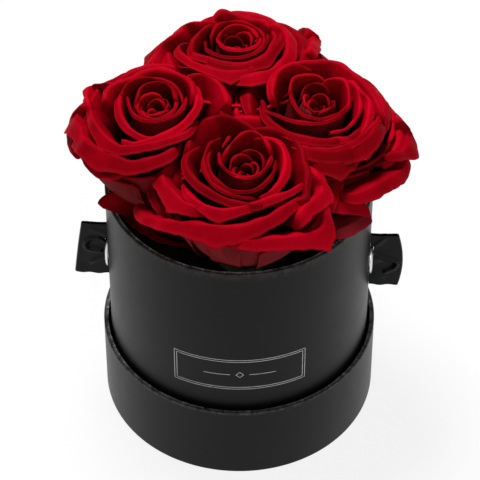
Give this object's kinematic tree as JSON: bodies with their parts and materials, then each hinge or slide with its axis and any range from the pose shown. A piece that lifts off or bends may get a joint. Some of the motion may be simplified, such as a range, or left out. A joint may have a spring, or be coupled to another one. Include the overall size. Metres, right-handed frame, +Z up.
{
  "type": "flower box",
  "caption": "Round paper-covered flower box full of preserved red roses, with a satin ribbon loop at each side, standing in its own upturned lid.",
  "frame": {"origin": "centre of the upturned lid's panel, on the surface that the box stands on", "axes": "+Z up along the box's axis, -Y towards the front, X through the two eyelets"},
  "size_m": [0.1424, 0.1389, 0.1677],
  "materials": {
    "wrap_paper": "matt soft-touch black",
    "lining_paper": "matt black",
    "grey_board": "raw grey board",
    "eyelet_metal": "nickel plated",
    "satin": "black satin",
    "foam": "dry floral foam",
    "stem_green": "dried stem",
    "petal": "velvety preserved petal"
  },
  "bodies": {
    "lid": {"lid_panel_paper": "wrap_paper", "lid_wrap_paper": "wrap_paper", "lid_panel_board": "grey_board", "lid_side_board": "grey_board", "lid_lining_paper": "lining_paper"},
    "box": {"box_foot_paper": "wrap_paper", "box_wrap_paper": "wrap_paper", "box_floor_board": "grey_board", "box_side_board": "grey_board", "box_lining_paper": "lining_paper", "left_eyelet": "eyelet_metal", "left_eyelet_washer": "eyelet_metal", "left_ribbon_knot": "satin", "right_eyelet": "eyelet_metal", "right_eyelet_washer": "eyelet_metal", "right_ribbon_knot": "satin", "foam_plug": "foam", "front_rose_bud": "petal", "front_rose_inner_petals": "petal", "front_rose_middle_petals": "petal", "front_rose_outer_petals": "petal", "front_rose_calyx": "stem_green", "front_rose_stem": "stem_green", "right_rose_bud": "petal", "right_rose_inner_petals": "petal", "right_rose_middle_petals": "petal", "right_rose_outer_petals": "petal", "right_rose_calyx": "stem_green", "right_rose_stem": "stem_green", "back_rose_bud": "petal", "back_rose_inner_petals": "petal", "back_rose_middle_petals": "petal", "back_rose_outer_petals": "petal", "back_rose_calyx": "stem_green", "back_rose_stem": "stem_green", "left_rose_bud": "petal", "left_rose_inner_petals": "petal", "left_rose_middle_petals": "petal", "left_rose_outer_petals": "petal", "left_rose_calyx": "stem_green", "left_rose_stem": "stem_green"},
    "left_ribbon": {"left_ribbon_loop": "satin"},
    "right_ribbon": {"right_ribbon_loop": "satin"}
  },
  "joints": [
    {"name": "box_lift", "type": "slide", "parent": "lid", "child": "box", "axis": [0, 0, 1], "range_m": [0, 0.05]},
    {"name": "left_ribbon_swing", "type": "hinge", "parent": "box", "child": "left_ribbon", "pos_m": [-0.0578, 0, 0.074], "axis": [0, 0, 1], "range_deg": [-60, 60]},
    {"name": "right_ribbon_swing", "type": "hinge", "parent": "box", "child": "right_ribbon", "pos_m": [0.0578, 0, 0.074], "axis": [0, 0, 1], "range_deg": [-60, 60]}
  ]
}
